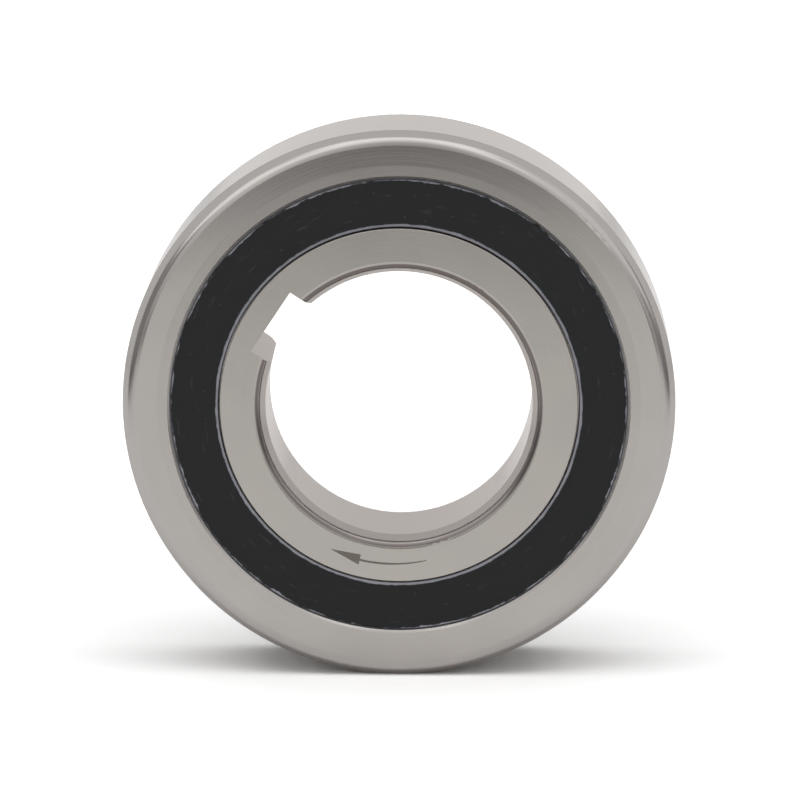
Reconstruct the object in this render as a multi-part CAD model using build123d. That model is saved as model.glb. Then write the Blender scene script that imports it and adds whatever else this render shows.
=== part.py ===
from build123d import *
from math import asin, cos, radians, sin, sqrt
import os

# A sprag clutch in the envelope of a deep-groove ball bearing. All sizes are in millimetres.
# The shaft axis is Y, the origin is the centre of the bore, and the marked front face looks along -Y.
# Angles are anticlockwise from +X as seen from the front. The inner ring overruns clockwise and
# locks anticlockwise.

# Envelope
bore_r = 15.0
outside_r = 31.0
width = 16.0

# How the metal between the bore and the outside is shared out. The pitch circle lies a little inside
# the middle of that height, a ball takes ball_share of it, and each land lies land_share of a ball
# from the pitch circle. The lands are also the tracks that the sprags grip.
pitch_inset = 0.3
ball_share = 0.4465
land_share = 0.35

# Turned-down shoulders at both ends of the inner ring. The step up to the land stands behind the
# shield's lip, so the gap between them isn't a straight way through.
shoulder_relief = 0.12
shoulder_length = 1.6
shoulder_chamfer = 0.08

# Corner of the outside diameter: a turned cone, then a rounding up to the side face
outside_corner_radial = 1.6
outside_corner_axial = 1.2
outside_cone_radial = 0.53
outside_cone_axial = 0.67

# Corner of the bore, made the same way and longer
bore_corner_radial = 1.36
bore_corner_axial = 1.9
bore_cone_radial = 0.49
bore_cone_axial = 1.29

# Keyway, through the whole length of the bore
keyway_width = 8.0
keyway_depth = 2.2
keyway_angle = 146.4

# Snap-in dust shields, the same on both sides, and their seats in the outer ring
shield_recess = 0.35
shield_thickness = 0.7
shield_rim_thickness = 0.38
shield_rim_height = 0.35
shield_rim_clearance = 0.05
shield_mouth_gap = 0.1
shield_edge_chamfer = 0.1
shield_lip_width = 0.5
shield_lip_depth = 0.4
shield_lip_chamfer = 0.1
shield_lip_gap = 0.12
mouth_step = 0.53
mouth_chamfer = 0.25

# Ball row
ball_count = 9
groove_conformity = 0.52
ball_clearance = 0.02
first_ball_angle = 90.0

# Snap cage of the ball row, open towards the sprags
cage_side_gap = 0.2
ball_cage_back = 0.5
ball_cage_land_gap = 1.2
ball_cage_web = 3.3
ball_cage_prong_reach = 2.0
ball_cage_pocket_wall = 0.75
pocket_clearance = 0.1

# Sprag row
sprag_count = 20
sprag_width = 4.0
sprag_waist = 2.7
cam_overlap = 0.5
grip_angle = 4.0
track_clearance = 0.02
row_gap = 0.25
first_sprag_angle = 90.0

# Window cage of the sprag row
sprag_cage_thickness = 1.4
sprag_cage_rim = 0.45
sprag_end_play = 0.05
window_side_gap = 0.15

# Energizing spring, a flat ring lying in a notch across the head of each sprag
spring_width = 0.9
spring_thickness = 0.3
spring_track_gap = 0.6
notch_side_gap = 0.2
notch_floor_gap = 0.3
notch_slant = 0.5

# Radii and axial places that follow from the sizes above
face_y = width / 2
pitch_r = (bore_r + outside_r) / 2 - pitch_inset
ball_d = ball_share * (outside_r - bore_r)
ball_r = ball_d / 2
inner_land_r = pitch_r - land_share * ball_d
outer_land_r = pitch_r + land_share * ball_d
shoulder_r = inner_land_r - shoulder_relief
groove_r = groove_conformity * ball_d
mouth_r = outer_land_r + mouth_step
shield_front_y = face_y - shield_recess
shield_back_y = shield_front_y - shield_thickness
ball_cage_front_y = cage_side_gap - shield_back_y
ball_row_y = ball_cage_front_y + ball_cage_back + pocket_clearance + ball_r
sprag_cage_front_y = ball_row_y + ball_r + row_gap
sprag_cage_back_y = shield_back_y - cage_side_gap
sprag_cage_length = sprag_cage_back_y - sprag_cage_front_y
sprag_row_y = (sprag_cage_front_y + sprag_cage_back_y) / 2
window_length = sprag_cage_length - 2 * sprag_cage_rim
sprag_length = window_length - 2 * sprag_end_play
spring_outer_r = outer_land_r - spring_track_gap
spring_inner_r = spring_outer_r - spring_thickness


def turned(outline):
    """Turn a section drawn as (radius, axial place) about the shaft axis."""
    return revolve(outline, axis=Axis.Y)


def placed(piece, angle, y):
    """Move a piece made on the +X axis to its angle and its place along the shaft."""
    return Pos(0, y, 0) * Rot(0, -angle, 0) * piece


def ring_between(inner_r, outer_r, front_y, back_y):
    """A plain ring with a rectangular section."""
    length = back_y - front_y
    middle_y = (front_y + back_y) / 2
    along_y = Pos(0, middle_y, 0) * Rot(90, 0, 0)
    return along_y * (Cylinder(outer_r, length) - Cylinder(inner_r, length))


def draw_corner(cylinder_r, into_metal, corner, cone, side):
    """Draw a ring corner on one side: a cone off the cylinder, then an arc tangent to it.

    into_metal is +1 where the face lies outside the cylinder and -1 where it lies inside it.
    corner and cone are each (radial, axial) sizes. Returns the point where the arc meets the face.
    """
    radial, axial = corner
    cone_radial, cone_axial = cone
    start_y = face_y - axial
    cone_end = (cylinder_r + into_metal * cone_radial, side * (start_y + cone_axial))
    face_end = (cylinder_r + into_metal * radial, side * face_y)
    slope = Line((cylinder_r, side * start_y), cone_end)
    TangentArc(cone_end, face_end, tangent=slope % 1)
    return face_end


def draw_ball_groove(land_r, into_metal):
    """Draw the arc of a ball groove in a land, and return its two ends."""
    bottom_r = pitch_r + into_metal * (ball_r + ball_clearance)
    centre_r = bottom_r - into_metal * groove_r
    half_width = sqrt(groove_r**2 - (land_r - centre_r) ** 2)
    front_end = (land_r, ball_row_y - half_width)
    back_end = (land_r, ball_row_y + half_width)
    ThreePointArc(front_end, (bottom_r, ball_row_y), back_end)
    return front_end, back_end


def make_outer_ring():
    corner = (outside_corner_radial, outside_corner_axial)
    cone = (outside_cone_radial, outside_cone_axial)
    cylinder_y = face_y - outside_corner_axial
    seat_r = mouth_r + shield_rim_height
    seat_front_y = shield_back_y + shield_rim_thickness + shield_rim_clearance
    with BuildSketch() as section:
        with BuildLine():
            for side in (-1, 1):
                face_end = draw_corner(outside_r, -1, corner, cone, side)
                Polyline(
                    face_end,
                    (mouth_r + mouth_chamfer, side * face_y),
                    (mouth_r, side * (face_y - mouth_chamfer)),
                    (mouth_r, side * seat_front_y),
                    (seat_r, side * seat_front_y),
                    (seat_r, side * shield_back_y),
                    (outer_land_r, side * shield_back_y),
                )
            front_end, back_end = draw_ball_groove(outer_land_r, 1)
            Line((outside_r, -cylinder_y), (outside_r, cylinder_y))
            Line((outer_land_r, -shield_back_y), front_end)
            Line(back_end, (outer_land_r, shield_back_y))
        make_face()
    return turned(section.sketch)


def make_inner_ring():
    corner = (bore_corner_radial, bore_corner_axial)
    cone = (bore_cone_radial, bore_cone_axial)
    cylinder_y = face_y - bore_corner_axial
    step_y = face_y - shoulder_length
    with BuildSketch() as section:
        with BuildLine():
            for side in (-1, 1):
                face_end = draw_corner(bore_r, 1, corner, cone, side)
                Polyline(
                    face_end,
                    (shoulder_r - shoulder_chamfer, side * face_y),
                    (shoulder_r, side * (face_y - shoulder_chamfer)),
                    (shoulder_r, side * step_y),
                    (inner_land_r, side * step_y),
                )
            front_end, back_end = draw_ball_groove(inner_land_r, -1)
            Line((bore_r, -cylinder_y), (bore_r, cylinder_y))
            Line((inner_land_r, -step_y), front_end)
            Line(back_end, (inner_land_r, step_y))
        make_face()
    from_the_axis = (Align.MIN, Align.CENTER, Align.CENTER)
    keyway = Box(bore_r + keyway_depth, width, keyway_width, align=from_the_axis)
    return turned(section.sketch) - placed(keyway, keyway_angle, 0)


def make_front_shield():
    lip_r = shoulder_r + shield_lip_gap
    edge_r = mouth_r - shield_mouth_gap
    rim_r = mouth_r + shield_rim_height - shield_rim_clearance
    rim_y = shield_back_y + shield_rim_thickness
    with BuildSketch() as section:
        with BuildLine():
            Polyline(
                (lip_r + shield_lip_chamfer, -shield_front_y),
                (edge_r - shield_edge_chamfer, -shield_front_y),
                (edge_r, shield_edge_chamfer - shield_front_y),
                (edge_r, -rim_y),
                (rim_r, -rim_y),
                (rim_r, -shield_back_y),
                (lip_r + shield_lip_width, -shield_back_y),
                (lip_r + shield_lip_width, shield_lip_depth - shield_back_y),
                (lip_r, shield_lip_depth - shield_back_y),
                (lip_r, shield_lip_chamfer - shield_front_y),
                close=True,
            )
        make_face()
    return turned(section.sketch)


def make_ball():
    return Pos(pitch_r, 0, 0) * Sphere(ball_r)


def make_ball_cage():
    """A crown cage: a ring at the back, and a round claw with a spherical pocket for each ball.

    The seam of each pocket's sphere faces the claw's open mouth, and its poles lie off the cage.
    """
    inner_r = inner_land_r + ball_cage_land_gap
    outer_r = outer_land_r - ball_cage_land_gap
    web_y = ball_cage_front_y + ball_cage_web
    claw_y = ball_row_y + ball_cage_prong_reach
    claw_r = ball_r + pocket_clearance + ball_cage_pocket_wall
    claw = Rot(0, 90, 0) * Cylinder(claw_r, outside_r, align=(Align.CENTER, Align.CENTER, Align.MIN))
    pocket_plane = Plane(origin=(pitch_r, 0, 0), x_dir=(0, 1, 0), z_dir=(1, 0, 0))
    pocket = pocket_plane * Sphere(ball_r + pocket_clearance)
    between_claws = ring_between(bore_r, outside_r, web_y, face_y)
    for angle in ball_angles():
        between_claws -= placed(claw, angle, ball_row_y)
    cage = ring_between(inner_r, outer_r, ball_cage_front_y, claw_y) - between_claws
    for angle in ball_angles():
        cage -= placed(pocket, angle, ball_row_y)
    return cage


def ball_angles():
    return [first_ball_angle + 360 / ball_count * number for number in range(ball_count)]


def sprag_angles():
    return [first_sprag_angle + 360 / sprag_count * number for number in range(sprag_count)]


def draw_cam(centre, cam_r, outwards):
    """Draw a cam face as wide as the sprag, and return its two ends."""
    half_width = sprag_width / 2
    ends = []
    for side in (-1, 1):
        along = side * half_width - centre[0]
        ends.append((side * half_width, centre[1] + outwards * sqrt(cam_r**2 - along**2)))
    ThreePointArc(ends[0], (centre[0], centre[1] + outwards * cam_r), ends[1])
    return ends


def make_sprag():
    """One sprag on the +X axis, drawn across the shaft: x is tangential and y is radial from the pitch circle.

    The outer cam's centre is turned anticlockwise from the inner cam's by the angle that gives the
    grip angle at the inner track, so that tipping the sprag clockwise makes it taller.
    """
    cam_r = (outer_land_r - inner_land_r) / 2 + cam_overlap - track_clearance
    inner_centre_r = inner_land_r + track_clearance + cam_r
    outer_centre_r = outer_land_r - track_clearance - cam_r
    grip = radians(grip_angle)
    half_lead = (grip - asin(inner_land_r * sin(grip) / outer_land_r)) / 2
    inner_centre = (-inner_centre_r * sin(half_lead), inner_centre_r * cos(half_lead) - pitch_r)
    outer_centre = (outer_centre_r * sin(half_lead), outer_centre_r * cos(half_lead) - pitch_r)
    across_shaft = Plane(origin=(pitch_r, 0, 0), x_dir=(0, 0, 1), z_dir=(0, 1, 0))
    with BuildSketch(across_shaft) as profile:
        with BuildLine():
            foot = draw_cam(inner_centre, cam_r, -1)
            head = draw_cam(outer_centre, cam_r, 1)
            ThreePointArc(foot[0], (-sprag_waist / 2, 0), head[0])
            ThreePointArc(foot[1], (sprag_waist / 2, 0), head[1])
        make_face()
    body = extrude(profile.sketch, amount=sprag_length / 2, both=True)

    # The notch floor slopes down anticlockwise, so the spring bears on the clockwise side and
    # tips the sprag into contact with both tracks.
    half_width = sprag_width / 2
    spring_underside = sqrt(spring_inner_r**2 - half_width**2) - pitch_r
    high_floor = spring_underside - notch_floor_gap
    above_head = outer_land_r - pitch_r
    with BuildSketch(across_shaft) as cut:
        with BuildLine():
            Polyline(
                (-half_width, high_floor),
                (half_width, high_floor - notch_slant),
                (half_width, above_head),
                (-half_width, above_head),
                close=True,
            )
        make_face()
    notch_half_length = spring_width / 2 + notch_side_gap
    return body - extrude(cut.sketch, amount=notch_half_length, both=True)


def make_sprag_cage():
    """A thin ring with a window for each sprag."""
    half_thickness = sprag_cage_thickness / 2
    cage = ring_between(
        pitch_r - half_thickness, pitch_r + half_thickness, sprag_cage_front_y, sprag_cage_back_y
    )
    window_width = sprag_width + 2 * window_side_gap
    window = Pos(pitch_r, 0, 0) * Box(2 * sprag_cage_thickness, window_length, window_width)
    for angle in sprag_angles():
        cage -= placed(window, angle, sprag_row_y)
    return cage


def make_energizing_spring():
    half_width = spring_width / 2
    return ring_between(
        spring_inner_r, spring_outer_r, sprag_row_y - half_width, sprag_row_y + half_width
    )


def write(name, piece):
    export_step(piece, f"parts/{name}.step")


os.makedirs("parts", exist_ok=True)

front_shield = make_front_shield()
write("outer_ring", make_outer_ring())
write("inner_ring", make_inner_ring())
write("front_shield", front_shield)
write("rear_shield", mirror(front_shield, about=Plane.XZ))

write("ball_cage", make_ball_cage())
ball = make_ball()
for number, angle in enumerate(ball_angles(), start=1):
    write(f"ball_{number:02d}", placed(ball, angle, ball_row_y))

write("sprag_cage", make_sprag_cage())
sprag = make_sprag()
for number, angle in enumerate(sprag_angles(), start=1):
    write(f"sprag_{number:02d}", placed(sprag, angle, sprag_row_y))
write("energizing_spring", make_energizing_spring())
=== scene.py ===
import math

import bpy
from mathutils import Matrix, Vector


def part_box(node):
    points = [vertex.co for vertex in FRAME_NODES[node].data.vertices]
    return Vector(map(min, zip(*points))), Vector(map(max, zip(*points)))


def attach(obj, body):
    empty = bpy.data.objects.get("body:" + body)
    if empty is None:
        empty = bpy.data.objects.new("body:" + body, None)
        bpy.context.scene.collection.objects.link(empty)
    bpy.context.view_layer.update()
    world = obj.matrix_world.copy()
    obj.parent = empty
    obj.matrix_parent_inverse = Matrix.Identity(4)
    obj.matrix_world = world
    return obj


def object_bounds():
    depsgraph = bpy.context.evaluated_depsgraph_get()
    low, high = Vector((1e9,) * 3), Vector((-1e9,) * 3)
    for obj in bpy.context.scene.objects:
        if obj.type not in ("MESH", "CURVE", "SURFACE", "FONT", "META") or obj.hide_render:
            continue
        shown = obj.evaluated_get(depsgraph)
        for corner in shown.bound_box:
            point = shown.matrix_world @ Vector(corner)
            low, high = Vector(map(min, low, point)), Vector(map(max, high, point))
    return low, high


# A sprag clutch of 30 x 62 x 16 mm, standing on its rim. The shaft axis is Y and the front is -Y.
# Angles round the ring are anticlockwise from +X, as seen from the front.
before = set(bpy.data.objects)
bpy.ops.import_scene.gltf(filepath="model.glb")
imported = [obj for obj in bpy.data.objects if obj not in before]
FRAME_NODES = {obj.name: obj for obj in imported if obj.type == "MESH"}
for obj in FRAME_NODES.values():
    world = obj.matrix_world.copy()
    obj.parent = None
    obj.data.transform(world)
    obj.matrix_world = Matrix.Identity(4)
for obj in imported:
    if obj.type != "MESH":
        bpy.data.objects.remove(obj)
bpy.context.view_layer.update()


# ---- Outer ring ---------------------------------------------------------------------------------
# Through-hardened bearing steel, turned, hardened, then ground: centreless on the outside diameter
# and flat on both side faces. The corners and the shield seats stay as they were turned.

MM = 0.001

# Half the width of the rings, and the radius midway between them, in mm.
HALF_WIDTH = 8.0
PITCH_R = 22.7


def linear(colour):
    """An sRGB hex colour as the linear colour that a shader takes."""
    parts = [int(colour[start:start + 2], 16) / 255 for start in (1, 3, 5)]
    return [p / 12.92 if p <= 0.04045 else ((p + 0.055) / 1.055) ** 2.4 for p in parts] + [1.0]


def add_node(tree, kind, sockets=None, **settings):
    """Add a shader node. sockets gives each input a value, or links it if it is another node's output."""
    node = tree.nodes.new("ShaderNode" + kind)
    for name, value in settings.items():
        setattr(node, name, value)
    for name, value in (sockets or {}).items():
        if isinstance(value, bpy.types.NodeSocket):
            tree.links.new(value, node.inputs[name])
        else:
            node.inputs[name].default_value = value
    return node


def start_finish(name):
    """A new material, with its node tree and its Principled shader."""
    material = bpy.data.materials.new(name)
    material.use_nodes = True
    return material, material.node_tree, material.node_tree.nodes["Principled BSDF"]


def read_ring_place(tree):
    """Where a point lies: its place, its radius and how far it is along the shaft, in mm, and the way out."""
    place = add_node(tree, "TexCoord").outputs["Object"]
    in_mm = add_node(tree, "VectorMath", {0: place, "Scale": 1000.0}, operation="SCALE").outputs[0]
    across = add_node(tree, "VectorMath", {0: in_mm, 1: (1, 0, 1)}, operation="MULTIPLY").outputs[0]
    radius = add_node(tree, "VectorMath", {0: across}, operation="LENGTH").outputs["Value"]
    outwards = add_node(tree, "VectorMath", {0: across}, operation="NORMALIZE").outputs[0]
    along = add_node(tree, "SeparateXYZ", {0: in_mm}).outputs["Y"]
    return in_mm, radius, along, outwards


def draw_lathe_lines(tree, radius, along, outwards, spacing, arc):
    """Fine lines round the ring, spacing mm apart and each about arc mm long at the radius PITCH_R."""
    across_lines = add_node(tree, "Math", {0: radius, 1: along}, operation="ADD").outputs[0]
    steps = add_node(tree, "Math", {0: across_lines, 1: 1 / spacing}, operation="MULTIPLY").outputs[0]
    turn = add_node(tree, "VectorMath", {0: outwards, "Scale": PITCH_R / arc}, operation="SCALE").outputs[0]
    lift = add_node(tree, "CombineXYZ", {"Y": steps}).outputs[0]
    spot = add_node(tree, "VectorMath", {0: turn, 1: lift}, operation="ADD").outputs[0]
    return add_node(tree, "TexNoise", {"Vector": spot, "Scale": 1.0, "Detail": 2.0}).outputs[0]


def shade_by_angle(node, degrees):
    """Show the turned curves as smooth and keep every edge sharper than this angle."""
    mesh = FRAME_NODES[node].data
    mesh.polygons.foreach_set("use_smooth", [True] * len(mesh.polygons))
    mesh.set_sharp_from_angle(angle=math.radians(degrees))


def give_finish(node, material):
    """Replace every material of a carried-over solid."""
    slots = FRAME_NODES[node].data.materials
    slots.clear()
    slots.append(material)


def follow_corner(tree, radius, along, outwards, face_edge_r, rounding, cone_sine):
    """The exact way that a turned corner faces, because facets are too coarse for a clean highlight.

    The face ends at the radius face_edge_r. From there an arc of the radius rounding turns away, until it
    meets the cone, which leans by cone_sine. A negative rounding turns towards the shaft instead. Returns
    the way, and 1 where it holds or 0 elsewhere.
    """
    past_edge = add_node(tree, "Math", {0: radius, 1: face_edge_r}, operation="SUBTRACT").outputs[0]
    leaning = add_node(tree, "Math", {0: past_edge, 1: rounding}, operation="DIVIDE").outputs[0]
    not_flat = add_node(tree, "Math", {0: leaning, 1: 0.0}, operation="MAXIMUM").outputs[0]
    lean = add_node(tree, "Math", {0: not_flat, 1: cone_sine}, operation="MINIMUM").outputs[0]
    squared = add_node(tree, "Math", {0: lean, 1: lean}, operation="MULTIPLY").outputs[0]
    rest = add_node(tree, "Math", {0: 1.0, 1: squared}, operation="SUBTRACT").outputs[0]
    upright = add_node(tree, "Math", {0: rest}, operation="SQRT").outputs[0]
    front_or_rear = add_node(tree, "Math", {0: along}, operation="SIGN").outputs[0]
    forward = add_node(tree, "Math", {0: upright, 1: front_or_rear}, operation="MULTIPLY").outputs[0]
    side = math.copysign(1.0, rounding)
    towards = add_node(tree, "Math", {0: lean, 1: side}, operation="MULTIPLY").outputs[0]
    sideways = add_node(tree, "VectorMath", {0: outwards, "Scale": towards}, operation="SCALE").outputs[0]
    axial = add_node(tree, "CombineXYZ", {"Y": forward}).outputs[0]
    way = add_node(tree, "VectorMath", {0: sideways, 1: axial}, operation="ADD").outputs[0]
    to_world = {"vector_type": "NORMAL", "convert_from": "OBJECT", "convert_to": "WORLD"}
    turned_way = add_node(tree, "VectorTransform", {"Vector": way}, **to_world).outputs[0]
    started = add_node(tree, "Math", {0: leaning, 1: 0.0}, operation="GREATER_THAN").outputs[0]

    # Other surfaces at the same radius, such as the keyway's flanks, face elsewhere and are left alone.
    facet = add_node(tree, "NewGeometry").outputs["True Normal"]
    match = add_node(tree, "VectorMath", {0: facet, 1: turned_way}, operation="DOT_PRODUCT").outputs["Value"]
    agrees = add_node(tree, "Math", {0: match, 1: 0.8}, operation="GREATER_THAN").outputs[0]
    holds = add_node(tree, "Math", {0: started, 1: agrees}, operation="MULTIPLY").outputs[0]
    return turned_way, holds


def make_bearing_steel(name, dark, light, turned_from, turned_to, turned_colour, fine_from, painted_dark_line_r, corner):
    """Ground bearing steel: a satin metal, with grinding grain on the flats and cylinders.

    Its grey varies between dark and light on the flat faces, and is turned_colour everywhere else. Between
    the radii turned_from and turned_to, off the flat faces, it is as turned and hardened, so it is duller
    and has no grinding grain. Outside the radius fine_from the last wheel has dressed the face finer, so it
    mirrors more sharply. At the given radius on the corner a thin dark line is painted, a painted reflection
    of the shaded table there. The corner gives the values that follow_corner takes, and then its depth.
    """
    material, tree, steel = start_finish(name)
    in_mm, radius, along, outwards = read_ring_place(tree)

    # The grit leaves scratches of about 0.02 mm. They are drawn 0.25 mm wide, so that they show.
    scratches = {"Vector": in_mm, "Scale": 4.0, "Detail": 3.0, "Roughness": 0.6}
    grain = add_node(tree, "TexNoise", scratches).outputs[0]
    lines = draw_lathe_lines(tree, radius, along, outwards, 0.12, 9.0)

    # Oil film and handling leave soft patches of warm and cool grey, some 6 mm across.
    cloud = add_node(tree, "TexNoise", {"Vector": in_mm, "Scale": 0.16, "Detail": 2.0}).outputs[0]
    greys = {0: cloud, 6: linear(dark), 7: linear(light)}
    patches = add_node(tree, "Mix", greys, data_type="RGBA").outputs[2]
    speckle = add_node(tree, "MapRange", {0: grain, 1: 0.25, 2: 0.75, 3: 0.98, 4: 1.02}).outputs[0]
    ground = add_node(tree, "VectorMath", {0: patches, "Scale": speckle}, operation="SCALE").outputs[0]

    off_face = add_node(tree, "Math", {0: along}, operation="ABSOLUTE").outputs[0]
    face_end = {0: off_face, 1: HALF_WIDTH - 0.01, 2: HALF_WIDTH - 0.07}
    below_face = add_node(tree, "MapRange", face_end, interpolation_type="SMOOTHSTEP").outputs[0]
    inner_end = {0: radius, 1: turned_to, 2: turned_to - 0.05}
    inside = add_node(tree, "MapRange", inner_end, interpolation_type="SMOOTHSTEP").outputs[0]
    outer_end = {0: radius, 1: turned_from, 2: turned_from + 0.05}
    outside = add_node(tree, "MapRange", outer_end, interpolation_type="SMOOTHSTEP").outputs[0]
    in_band = add_node(tree, "Math", {0: inside, 1: outside}, operation="MULTIPLY").outputs[0]
    turned = add_node(tree, "Math", {0: in_band, 1: below_face}, operation="MULTIPLY").outputs[0]
    colours = {0: below_face, 6: ground, 7: linear(turned_colour)}
    clean = add_node(tree, "Mix", colours, data_type="RGBA").outputs[2]

    way, holds = follow_corner(tree, radius, along, outwards, *corner[:3])
    corner_end = {0: off_face, 1: HALF_WIDTH - corner[3]}
    near_face = add_node(tree, "Math", corner_end, operation="GREATER_THAN").outputs[0]
    on_corner = add_node(tree, "Math", {0: holds, 1: near_face}, operation="MULTIPLY").outputs[0]
    exact = add_node(tree, "Math", {0: on_corner, 1: turned}, operation="MULTIPLY").outputs[0]

    # The painted dark reflection is a line about 0.4 mm wide that fades out at both sides.
    from_line = add_node(tree, "Math", {0: radius, 1: painted_dark_line_r}, operation="SUBTRACT").outputs[0]
    away = add_node(tree, "Math", {0: from_line}, operation="ABSOLUTE").outputs[0]
    fade = {0: away, 1: 0.36, 2: 0.12}
    near = add_node(tree, "MapRange", fade, interpolation_type="SMOOTHSTEP").outputs[0]
    grease_film_and_painted_line = add_node(tree, "Math", {0: near, 1: exact}, operation="MULTIPLY").outputs[0]
    with_painted_dark_line = add_node(tree, "Mix", {0: grease_film_and_painted_line, 6: clean, 7: linear("#6B6462")}, data_type="RGBA").outputs[2]
    tree.links.new(with_painted_dark_line, steel.inputs["Base Color"])

    # The coarse wheel leaves a roughness of 0.2, the fine one 0.14, and turning 0.05 more.
    fine_end = {0: radius, 1: fine_from, 2: fine_from + 0.15}
    fine = add_node(tree, "MapRange", fine_end, interpolation_type="SMOOTHSTEP").outputs[0]
    grit = add_node(tree, "MapRange", {0: fine, 3: 0.2, 4: 0.14}).outputs[0]
    streak = add_node(tree, "MapRange", {0: lines, 1: 0.2, 2: 0.8, 3: -0.015, 4: 0.02}).outputs[0]
    dull = add_node(tree, "Math", {0: grit, 1: streak}, operation="ADD").outputs[0]
    rough = add_node(tree, "Math", {0: turned, 1: 0.05, 2: dull}, operation="MULTIPLY_ADD").outputs[0]
    tree.links.new(rough, steel.inputs["Roughness"])

    # The grain is in relief where the steel is ground, and the corner takes its exact way instead.
    relief = add_node(tree, "Math", {0: grain, 1: lines}, operation="ADD").outputs[0]
    depth = add_node(tree, "MapRange", {0: turned, 3: 0.04, 4: 0.0}).outputs[0]
    bump = add_node(tree, "Bump", {"Height": relief, "Strength": depth, "Distance": 0.02 * MM})
    ends = {0: exact, 4: bump.outputs[0], 5: way}
    facing = add_node(tree, "Mix", ends, data_type="VECTOR").outputs[1]
    tree.links.new(facing, steel.inputs["Normal"])

    # Seen at a glancing angle, the steel mirrors a little warmer.
    steel.inputs["Specular Tint"].default_value = linear("#EBE7E4")
    steel.inputs["Metallic"].default_value = 1.0
    return material


# The outside corner: where the face ends, the rounding, the sine of the cone's lean, and the depth, in mm.
# It has no painted dark line, which a radius of 0 says, because nothing lies at that radius.
OUTSIDE_CORNER = (29.4, 1.36, 0.784, 1.2)
outer_steel = make_bearing_steel(
    "ground_bearing_steel_outer",
    dark="#A29E9A",
    light="#ACA7A2",
    turned_from=25.0,
    turned_to=30.98,
    turned_colour="#A8A4A1",
    fine_from=27.05,
    painted_dark_line_r=0.0,
    corner=OUTSIDE_CORNER,
)
give_finish("outer_ring", outer_steel)
shade_by_angle("outer_ring", 25)


# ---- Inner ring ---------------------------------------------------------------------------------
# The same steel. The bore is honed for a sliding fit on the shaft, the corners of the bore are turned,
# and the keyway is broached through, which leaves straight marks along the shaft.

# The bore's corner rounds towards the shaft. The ring ends inside the radius 30, so no face is finer.
BORE_CORNER = (16.36, -0.94, 0.93, 1.9)
inner_steel = make_bearing_steel(
    "ground_bearing_steel_inner",
    dark="#A09C98",
    light="#ABA69F",
    turned_from=15.03,
    turned_to=19.0,
    turned_colour="#A39D9A",
    fine_from=30.0,
    # A thin dark line is painted at this radius on the bore's corner: a painted reflection of the shaded
    # table.
    painted_dark_line_r=15.98,
    corner=BORE_CORNER,
)
give_finish("inner_ring", inner_steel)
shade_by_angle("inner_ring", 25)


# ---- Direction arrow ----------------------------------------------------------------------------
# The arrow shows which way the inner ring overruns. A laser oxidises the steel of the inner ring's
# front face to a dull grey-brown, and the arrow has almost no depth.

ARROW_TIP_ANGLE = 244.8
ARROW_BACK_ANGLE = 256.0
ARROW_TAIL_ANGLE = 280.0
ARROW_TIP_R = 18.05 * MM
ARROW_BACK_R = 18.1 * MM
ARROW_HALF_WIDTH = 0.59 * MM
ARROW_STEPS = 24


def round_shaft(radius, degrees):
    """A point at a radius and an angle round the shaft."""
    turn = math.radians(degrees)
    return Vector((radius * math.cos(turn), 0, radius * math.sin(turn)))


def make_arrow(front_y):
    """A long straight-sided head and a curved shaft that thins out to its tail, as one thin plate."""
    outline = [round_shaft(ARROW_TIP_R, ARROW_TIP_ANGLE)]
    back_middle = round_shaft(ARROW_BACK_R, ARROW_BACK_ANGLE)
    away = back_middle.normalized()
    outline.append(back_middle + away * ARROW_HALF_WIDTH)
    outer = []
    inner = []
    for step in range(ARROW_STEPS + 1):
        share = step / ARROW_STEPS
        angle = ARROW_BACK_ANGLE + (ARROW_TAIL_ANGLE - ARROW_BACK_ANGLE) * share
        middle = (18.12 - 0.22 * share ** 1.5) * MM
        half = (0.12 - 0.07 * share ** 2) * MM
        outer.append(round_shaft(middle + half, angle))
        inner.append(round_shaft(middle - half, angle))
    outline += outer + inner[::-1]
    outline.append(back_middle - away * ARROW_HALF_WIDTH)
    count = len(outline)
    front = [(p.x, front_y - 0.012 * MM, p.z) for p in outline]
    sunk = [(p.x, front_y + 0.01 * MM, p.z) for p in outline]
    sides = [(i, (i + 1) % count, count + (i + 1) % count, count + i) for i in range(count)]
    head = [0, 1, 2, count - 2, count - 1]
    last = 2 + ARROW_STEPS + 1 + ARROW_STEPS
    strips = [(2 + i, 3 + i, last - 1 - i, last - i) for i in range(ARROW_STEPS)]
    faces = sides + [head] + strips
    mesh = bpy.data.meshes.new("direction_arrow")
    mesh.from_pydata(front + sunk, [], faces)
    mesh.validate()
    piece = bpy.data.objects.new("direction_arrow", mesh)
    bpy.context.scene.collection.objects.link(piece)
    return piece


def make_laser_mark():
    """Laser-annealed oxide: a dull grey-brown, mottled by the laser's passes about 0.05 mm apart."""
    material, tree, oxide = start_finish("laser_oxide_mark")
    in_mm = read_ring_place(tree)[0]
    mottle = add_node(tree, "TexNoise", {"Vector": in_mm, "Scale": 5.0, "Detail": 2.0}).outputs[0]
    browns = {0: mottle, 6: linear("#5A554E"), 7: linear("#7A746B")}
    colour = add_node(tree, "Mix", browns, data_type="RGBA").outputs[2]
    tree.links.new(colour, oxide.inputs["Base Color"])
    rough = add_node(tree, "MapRange", {0: mottle, 3: 0.42, 4: 0.6}).outputs[0]
    tree.links.new(rough, oxide.inputs["Roughness"])
    oxide.inputs["Metallic"].default_value = 0.6
    return material


arrow = make_arrow(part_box("inner_ring")[0].y)
arrow.data.materials.append(make_laser_mark())
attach(arrow, "inner")


# ---- Ball row -----------------------------------------------------------------------------------
# Nine chrome steel balls, lapped to a mirror, carry the radial load. They snap into the pockets of a
# crown cage, injection moulded in glass-filled nylon.

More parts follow.
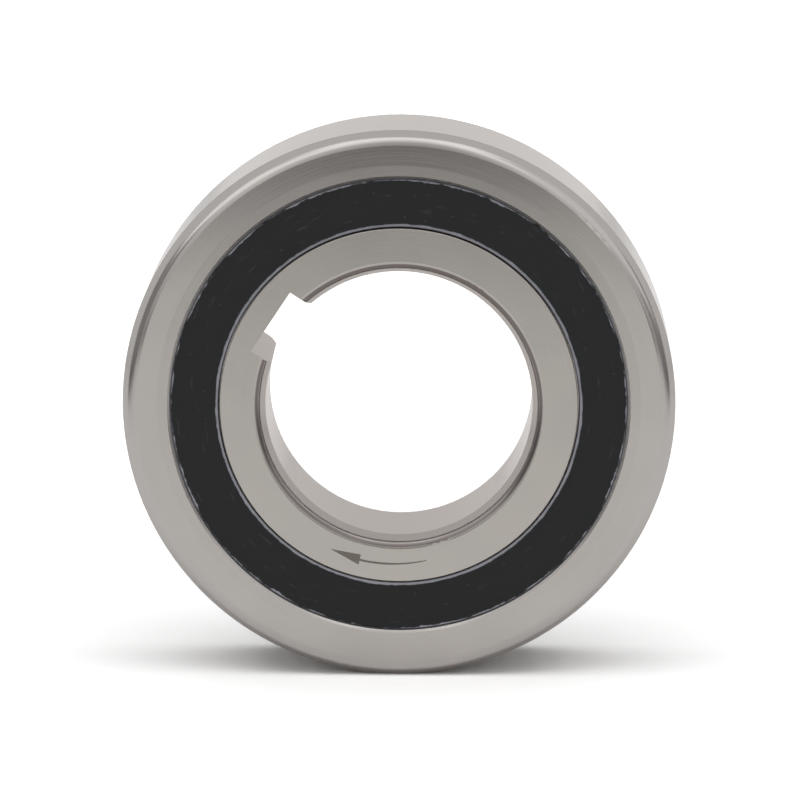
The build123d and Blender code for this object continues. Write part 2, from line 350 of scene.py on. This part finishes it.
def make_ball_steel():
    """Lapped chrome steel: a mirror, dulled a little by grease in faint bands."""
    material, tree, steel = start_finish("lapped_chrome_steel")
    in_mm = read_ring_place(tree)[0]
    grease_film_and_painted_line = add_node(tree, "TexNoise", {"Vector": in_mm, "Scale": 0.8, "Detail": 3.0}).outputs[0]
    greys = {0: grease_film_and_painted_line, 6: linear("#B9B6B1"), 7: linear("#CFCDCA")}
    colour = add_node(tree, "Mix", greys, data_type="RGBA").outputs[2]
    tree.links.new(colour, steel.inputs["Base Color"])
    rough = add_node(tree, "MapRange", {0: grease_film_and_painted_line, 1: 0.3, 2: 0.7, 3: 0.05, 4: 0.13}).outputs[0]
    tree.links.new(rough, steel.inputs["Roughness"])
    steel.inputs["Metallic"].default_value = 1.0
    return material


def make_cage_nylon():
    """Moulded natural nylon: ivory, satin, with short glass fibres just under the skin."""
    material, tree, nylon = start_finish("natural_glass_filled_nylon")
    radius, along, outwards = read_ring_place(tree)[1:]

    # Glass fibres are about 0.01 mm thick and 0.3 mm long. They are drawn 0.1 mm thick.
    fibres = draw_lathe_lines(tree, radius, along, outwards, 0.1, 0.8)
    ivories = {0: fibres, 6: linear("#D6CBB0"), 7: linear("#E4DCC6")}
    colour = add_node(tree, "Mix", ivories, data_type="RGBA").outputs[2]
    tree.links.new(colour, nylon.inputs["Base Color"])
    rough = add_node(tree, "MapRange", {0: fibres, 3: 0.38, 4: 0.6}).outputs[0]
    tree.links.new(rough, nylon.inputs["Roughness"])
    bump = add_node(tree, "Bump", {"Height": fibres, "Strength": 0.15, "Distance": 0.02 * MM})
    tree.links.new(bump.outputs[0], nylon.inputs["Normal"])
    nylon.inputs["IOR"].default_value = 1.53
    return material


ball_steel = make_ball_steel()
balls = [name for name in sorted(FRAME_NODES) if name.startswith("ball_") and name[5:].isdigit()]
for name in balls:
    give_finish(name, ball_steel)
    shade_by_angle(name, 60)
give_finish("ball_cage", make_cage_nylon())
shade_by_angle("ball_cage", 25)


# ---- Sprag row ----------------------------------------------------------------------------------
# Twenty hardened steel sprags stand in the windows of a stamped steel cage. A spring of flat steel
# strip lies in the notches across their heads and tips them into contact with both rings.

def make_sprag_steel():
    """Drawn and case-hardened steel, barrel finished: grey, satin, with draw lines along the shaft."""
    material, tree, steel = start_finish("barrelled_sprag_steel")
    in_mm = read_ring_place(tree)[0]

    # Tumbling leaves dents under 0.05 mm across. They are drawn at 0.2 mm.
    stretched = add_node(tree, "VectorMath", {0: in_mm, 1: (5.0, 0.6, 5.0)}, operation="MULTIPLY").outputs[0]
    draw = add_node(tree, "TexNoise", {"Vector": stretched, "Scale": 1.0, "Detail": 3.0}).outputs[0]
    greys = {0: draw, 6: linear("#7D7A77"), 7: linear("#9C9893")}
    colour = add_node(tree, "Mix", greys, data_type="RGBA").outputs[2]
    tree.links.new(colour, steel.inputs["Base Color"])
    rough = add_node(tree, "MapRange", {0: draw, 3: 0.25, 4: 0.42}).outputs[0]
    tree.links.new(rough, steel.inputs["Roughness"])
    bump = add_node(tree, "Bump", {"Height": draw, "Strength": 0.15, "Distance": 0.02 * MM})
    tree.links.new(bump.outputs[0], steel.inputs["Normal"])
    steel.inputs["Metallic"].default_value = 1.0
    return material


def make_strip_steel(name, light, dark, spacing):
    """Cold-rolled strip, bent round: rolling lines run round the ring, spacing mm apart."""
    material, tree, steel = start_finish(name)
    radius, along, outwards = read_ring_place(tree)[1:]
    rolled = draw_lathe_lines(tree, radius, along, outwards, spacing, 6.0)
    shades = {0: rolled, 6: linear(dark), 7: linear(light)}
    colour = add_node(tree, "Mix", shades, data_type="RGBA").outputs[2]
    tree.links.new(colour, steel.inputs["Base Color"])
    rough = add_node(tree, "MapRange", {0: rolled, 3: 0.22, 4: 0.4}).outputs[0]
    tree.links.new(rough, steel.inputs["Roughness"])
    bump = add_node(tree, "Bump", {"Height": rolled, "Strength": 0.1, "Distance": 0.02 * MM})
    tree.links.new(bump.outputs[0], steel.inputs["Normal"])
    steel.inputs["Metallic"].default_value = 1.0
    return material


sprag_steel = make_sprag_steel()
sprags = [name for name in sorted(FRAME_NODES) if name.startswith("sprag_") and name[6:].isdigit()]
for name in sprags:
    give_finish(name, sprag_steel)
    shade_by_angle(name, 25)
give_finish("sprag_cage", make_strip_steel("cold_rolled_cage_steel", "#B4B0AA", "#8F8B86", 0.15))
shade_by_angle("sprag_cage", 25)

# Tempering turns the spring strip from straw to blue.
give_finish("energizing_spring", make_strip_steel("blued_spring_steel", "#5E6A82", "#3C465C", 0.1))
shade_by_angle("energizing_spring", 25)


# ---- Shields ------------------------------------------------------------------------------------
# Two pressed sheet steel shields with a baked black coat, snapped into the outer ring. The punched
# edges and the lips lose their coat and show blue-grey steel, and the coat has fine scuffs and dust.

# The radii of the lip and of the outer edge, in mm.
SHIELD_LIP_R = 20.2
SHIELD_EDGE_R = 25.63


def make_coated_steel():
    """Baked black coat on pressed steel: matt and finely pebbled, worn off at both edges."""
    material, tree, coat = start_finish("baked_black_coat_on_steel")
    in_mm, radius, along, outwards = read_ring_place(tree)

    # The coat pulls back from the lip by 0.35 mm, and from the outer edge by up to 0.4 mm in places.
    tears = {"Vector": in_mm, "Scale": 0.45, "Detail": 4.0, "Roughness": 0.7}
    ragged = add_node(tree, "TexNoise", tears).outputs[0]
    shift = add_node(tree, "MapRange", {0: ragged, 1: 0.3, 2: 0.7, 3: -0.08, 4: 0.08}).outputs[0]
    moved_in = add_node(tree, "Math", {0: radius, 1: shift}, operation="SUBTRACT").outputs[0]
    moved_out = add_node(tree, "Math", {0: shift, 1: 2.5, 2: radius}, operation="MULTIPLY_ADD").outputs[0]
    lip_band = {0: moved_in, 1: SHIELD_LIP_R + 0.42, 2: SHIELD_LIP_R + 0.28}
    lip = add_node(tree, "MapRange", lip_band, interpolation_type="SMOOTHSTEP").outputs[0]
    edge_band = {0: moved_out, 1: SHIELD_EDGE_R - 0.22, 2: SHIELD_EDGE_R - 0.08}
    edge = add_node(tree, "MapRange", edge_band, interpolation_type="SMOOTHSTEP").outputs[0]
    bare = add_node(tree, "Math", {0: lip, 1: edge}, operation="MAXIMUM").outputs[0]

    # Dust specks about 0.2 mm across, and scuffs some 2 mm long round the ring.
    dust = {"Vector": in_mm, "Scale": 0.55, "Randomness": 1.0}
    dots = add_node(tree, "TexVoronoi", dust).outputs["Distance"]
    dot_end = {0: dots, 1: 0.1, 2: 0.04}
    speck = add_node(tree, "MapRange", dot_end, interpolation_type="SMOOTHSTEP").outputs[0]
    rubbed = draw_lathe_lines(tree, radius, along, outwards, 0.5, 2.4)
    rub_end = {0: rubbed, 1: 0.62, 2: 0.8}
    scuff = add_node(tree, "MapRange", rub_end, interpolation_type="SMOOTHSTEP").outputs[0]
    light = add_node(tree, "Math", {0: speck, 1: scuff}, operation="MAXIMUM").outputs[0]
    worn = add_node(tree, "Math", {0: light, 1: 0.1}, operation="MULTIPLY").outputs[0]
    blacks = {0: worn, 6: linear("#111214"), 7: linear("#6A6B6E")}
    black = add_node(tree, "Mix", blacks, data_type="RGBA").outputs[2]

    # The bare steel is blue-grey and uneven, because a thin stain of the coat stays on it.
    steels = {0: ragged, 6: linear("#6E6F74"), 7: linear("#94959B")}
    stain = add_node(tree, "Mix", steels, data_type="RGBA").outputs[2]
    colour = add_node(tree, "Mix", {0: bare, 6: black, 7: stain}, data_type="RGBA").outputs[2]
    tree.links.new(colour, coat.inputs["Base Color"])
    tree.links.new(bare, coat.inputs["Metallic"])
    rough = add_node(tree, "MapRange", {0: bare, 3: 0.6, 4: 0.35}).outputs[0]
    tree.links.new(rough, coat.inputs["Roughness"])

    pebble = add_node(tree, "TexNoise", {"Vector": in_mm, "Scale": 3.0, "Detail": 2.0}).outputs[0]
    bump = add_node(tree, "Bump", {"Height": pebble, "Strength": 0.3, "Distance": 0.03 * MM})
    tree.links.new(bump.outputs[0], coat.inputs["Normal"])
    coat.inputs["Specular IOR Level"].default_value = 0.28
    return material


coated_steel = make_coated_steel()
for name in ("front_shield", "rear_shield"):
    give_finish(name, coated_steel)
    shade_by_angle(name, 25)


# ---- Table, light and camera --------------------------------------------------------------------
# A white table top that fades into a white room, lit by a deep soft box overhead. Dark drapes in front and
# white cards at the sides and above are glowing sheets that only the metal shows: painted reflections for the
# steel. The camera looks a little down.

OBJECT_LOW, OBJECT_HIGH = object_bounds()
CENTRE = (OBJECT_LOW + OBJECT_HIGH) / 2
FLOOR_Z = OBJECT_LOW.z


def add_stage_piece(name, points, faces, material):
    """A sheet of the studio, which isn't part of the object."""
    mesh = bpy.data.meshes.new(name)
    mesh.from_pydata(points, [], faces)
    mesh.materials.append(material)
    piece = bpy.data.objects.new(name, mesh)
    bpy.context.scene.collection.objects.link(piece)
    return piece


def make_table_top():
    """Matt white laminate. Seen straight it is lifted to pure white, more so far away and less near the
    object, which paints shade into the floor round it.
    """
    material = bpy.data.materials.new("matt_white_laminate")
    material.use_nodes = True
    tree = material.node_tree
    tree.nodes.clear()
    rays = add_node(tree, "LightPath").outputs
    mirrored = {0: rays["Is Glossy Ray"], 1: 0.39, 2: 0.8}
    in_metal = add_node(tree, "Math", mirrored, operation="MULTIPLY_ADD").outputs[0]
    place = add_node(tree, "TexCoord").outputs["Object"]
    away = add_node(tree, "VectorMath", {0: place}, operation="LENGTH").outputs["Value"]
    # Less lift near the object: painted shade on the floor round it.
    extra = add_node(tree, "MapRange", {0: away, 1: 0.12, 2: 0.5, 3: 0.5, 4: 0.9}).outputs[0]
    straight = {0: rays["Is Camera Ray"], 1: extra, 2: in_metal}
    lift = add_node(tree, "Math", straight, operation="MULTIPLY_ADD").outputs[0]
    top = add_node(tree, "BsdfDiffuse", {"Color": lift})
    add_node(tree, "OutputMaterial", {"Surface": top.outputs[0]})
    return material


def make_studio_sheet(name, level):
    """A glowing sheet for a painted reflection: paper or cloth as the metal shows it, an even glow of the
    given level, where 1 is white.
    """
    material = bpy.data.materials.new(name)
    material.use_nodes = True
    tree = material.node_tree
    tree.nodes.clear()
    glow = add_node(tree, "Emission", {"Color": linear("#FFFFFF"), "Strength": level})
    add_node(tree, "OutputMaterial", {"Surface": glow.outputs[0]})
    return material


def hide_from_all_but_metal(piece):
    """Let a sheet show in the metal, and neither be seen straight, nor light or shade anything."""
    for rays in ("visible_camera", "visible_diffuse", "visible_shadow", "visible_volume_scatter"):
        setattr(piece, rays, False)


def in_room(azimuth, elevation, distance):
    """A point of the room by its direction from the object. Azimuth 0 is the front and 90 the right."""
    turn = math.radians(azimuth)
    rise = math.radians(elevation)
    way = Vector((math.sin(turn) * math.cos(rise), -math.cos(turn) * math.cos(rise), math.sin(rise)))
    return CENTRE + way * distance


def hang_sheet(name, azimuths, elevations, distance, material):
    """A sheet bent round the object between two azimuths and two elevations."""
    columns = 12
    rows = 6
    points = []
    for row in range(rows + 1):
        elevation = elevations[0] + (elevations[1] - elevations[0]) * row / rows
        for column in range(columns + 1):
            azimuth = azimuths[0] + (azimuths[1] - azimuths[0]) * column / columns
            points.append(in_room(azimuth, elevation, distance))
    wide = columns + 1
    corners = [row * wide + column for row in range(rows) for column in range(columns)]
    faces = [(i, i + 1, i + 1 + wide, i + wide) for i in corners]
    hide_from_all_but_metal(add_stage_piece(name, points, faces, material))


def grade_drape(material):
    """Paint light into the drape's glow: it brightens with height and towards both sides, and then turns dark
    at its ends.
    """
    tree = material.node_tree
    place = add_node(tree, "TexCoord").outputs["Object"]
    way = add_node(tree, "VectorMath", {0: place}, operation="NORMALIZE").outputs[0]
    parts = add_node(tree, "SeparateXYZ", {0: way}).outputs
    lower = add_node(tree, "MapRange", {0: parts["Z"], 1: -0.07, 2: 0.55, 3: 0.24, 4: 1.0}).outputs[0]
    upper = add_node(tree, "MapRange", {0: parts["Z"], 1: 0.5, 2: 0.79, 3: 0.0, 4: 0.7}).outputs[0]
    rising = add_node(tree, "Math", {0: lower, 1: upper}, operation="ADD").outputs[0]
    aside = add_node(tree, "Math", {0: parts["X"]}, operation="ABSOLUTE").outputs[0]
    beside = add_node(tree, "MapRange", {0: aside, 1: 0.05, 2: 0.26, 3: 0.0, 4: 0.5}).outputs[0]
    middle = add_node(tree, "Math", {0: rising, 1: beside}, operation="ADD").outputs[0]
    drape_end = {0: aside, 1: 0.44, 2: 0.6}
    share = add_node(tree, "MapRange", drape_end, interpolation_type="SMOOTHSTEP").outputs[0]
    level = add_node(tree, "Mix", {0: share, 2: middle, 3: SIDE_LEVEL}).outputs[0]
    tree.links.new(level, tree.nodes["Emission"].inputs["Strength"])


def fade_table_shade(material):
    """Let this painted shade, a dark sheet on the table that shows only in the metal, fade in towards the
    front and the sides.
    """
    tree = material.node_tree
    on_table = add_node(tree, "TexCoord").outputs["Object"]
    place = add_node(tree, "SeparateXYZ", {0: on_table}).outputs
    aside = add_node(tree, "Math", {0: place["X"]}, operation="ABSOLUTE").outputs[0]
    front_end = {0: place["Y"], 1: -0.29, 2: -0.45}
    to_front = add_node(tree, "MapRange", front_end, interpolation_type="SMOOTHSTEP").outputs[0]
    side_end = {0: aside, 1: 0.16, 2: 0.3}
    to_side = add_node(tree, "MapRange", side_end, interpolation_type="SMOOTHSTEP").outputs[0]
    rear_end = {0: place["Y"], 1: 0.05, 2: -0.05}
    ahead = add_node(tree, "MapRange", rear_end, interpolation_type="SMOOTHSTEP").outputs[0]
    beside = add_node(tree, "Math", {0: to_side, 1: ahead}, operation="MULTIPLY").outputs[0]
    share = add_node(tree, "Math", {0: to_front, 1: beside}, operation="MAXIMUM").outputs[0]
    clear = add_node(tree, "BsdfTransparent")
    glow = tree.nodes["Emission"]
    mixed = add_node(tree, "MixShader", {0: share, 1: clear.outputs[0], 2: glow.outputs[0]})
    tree.links.new(mixed.outputs[0], tree.nodes["Material Output"].inputs["Surface"])


# How bright the dark sheets are in the metal: the table's end, and the drape's two ends.
DARK_LEVEL = 0.17
SIDE_LEVEL = 0.38
DRAPE_DISTANCE = 0.95
CARD_DISTANCE = 0.8

table_points = [(-1.6, -1.0, FLOOR_Z), (1.6, -1.0, FLOOR_Z), (1.6, 1.6, FLOOR_Z), (-1.6, 1.6, FLOOR_Z)]
add_stage_piece("table_top", table_points, [(0, 1, 2, 3)], make_table_top())

drape = make_studio_sheet("dark_studio_drape", DARK_LEVEL)
grade_drape(drape)
hang_sheet("front_drape", (-85, 85), (-4, 26), DRAPE_DISTANCE, drape)
hang_sheet("front_drape_top", (-28, 28), (26, 55), DRAPE_DISTANCE, drape)

# A painted shade: the table shows darker in the metal towards its front end and sides.
table_shade = make_studio_sheet("painted_shade_table_end", DARK_LEVEL)
fade_table_shade(table_shade)
shade_corners = [(-0.95, -0.95), (0.95, -0.95), (0.95, 0.05), (-0.95, 0.05)]
shade_points = [(x, y, FLOOR_Z + 1 * MM) for x, y in shade_corners]
hide_from_all_but_metal(add_stage_piece("table_end_shade", shade_points, [(0, 1, 2, 3)], table_shade))

# The cards glow brighter than white paper, though no lamp shines on them: painted reflections, seen only in
# the metal.
left_card_glow = make_studio_sheet("glowing_card_left", 1.75)
hang_sheet("left_card", (-62, -24), (21, 50), CARD_DISTANCE, left_card_glow)
right_card_glow = make_studio_sheet("glowing_card_right", 1.2)
hang_sheet("right_card", (28, 72), (9, 48), CARD_DISTANCE, right_card_glow)
overhead_card_glow = make_studio_sheet("glowing_card_overhead", 1.9)
hang_sheet("overhead_card", (-55, 55), (55, 72), CARD_DISTANCE, overhead_card_glow)

# The room gives more light from the front, so that a soft shade falls behind the ring. It looks white.
world = bpy.data.worlds.new("white_room")
bpy.context.scene.world = world
world.use_nodes = True
room = world.node_tree
room_place = add_node(room, "TexCoord").outputs["Generated"]
room_way = add_node(room, "SeparateXYZ", {0: room_place}).outputs["Y"]
room_ends = {0: room_way, 1: -0.5, 2: 0.3, 3: 0.6, 4: 0.1}
room_light = add_node(room, "MapRange", room_ends, interpolation_type="SMOOTHSTEP").outputs[0]
rays = add_node(room, "LightPath").outputs
seen_or_mirrored = {0: rays["Is Camera Ray"], 1: rays["Is Glossy Ray"]}
shown = add_node(room, "Math", seen_or_mirrored, operation="MAXIMUM").outputs[0]
through = {0: shown, 1: rays["Is Transmission Ray"]}
shown = add_node(room, "Math", through, operation="MAXIMUM").outputs[0]
strength = add_node(room, "Mix", {0: shown, 2: room_light, 3: 1.0}).outputs[0]
room.links.new(strength, room.nodes["Background"].inputs["Strength"])
room.nodes["Background"].inputs["Color"].default_value = linear("#FFFFFF")

SOFT_BOX_ELEVATION = 88
SOFT_BOX_DISTANCE = 1.0
box_light = bpy.data.lights.new("soft_box", "AREA")
box_light.shape = "RECTANGLE"
box_light.size = 1.8
box_light.size_y = 1.3
box_light.energy = 11.0
soft_box = bpy.data.objects.new("soft_box", box_light)
bpy.context.scene.collection.objects.link(soft_box)
soft_box.location = in_room(0, SOFT_BOX_ELEVATION, SOFT_BOX_DISTANCE)
soft_box.rotation_euler = (soft_box.location - CENTRE).to_track_quat("Z", "Y").to_euler()
soft_box.visible_glossy = False

# The lens is in mm, and the shift in widths of the picture.
CAMERA_DISTANCE = 0.6
CAMERA_ELEVATION = 10.4
CAMERA_AZIMUTH = 1.1
CAMERA_LENS = 238.14
CAMERA_SHIFT = -0.00825
camera_data = bpy.data.cameras.new("camera")
camera_data.sensor_width = 36
camera_data.lens = CAMERA_LENS
camera_data.shift_y = CAMERA_SHIFT
camera = bpy.data.objects.new("camera", camera_data)
bpy.context.scene.collection.objects.link(camera)
camera.location = in_room(CAMERA_AZIMUTH, CAMERA_ELEVATION, CAMERA_DISTANCE)
camera.rotation_euler = (camera.location - CENTRE).to_track_quat("Z", "Y").to_euler()
camera_data.clip_start = 0.05
camera_data.clip_end = 20
bpy.context.scene.camera = camera
bpy.context.scene.view_settings.view_transform = "Standard"
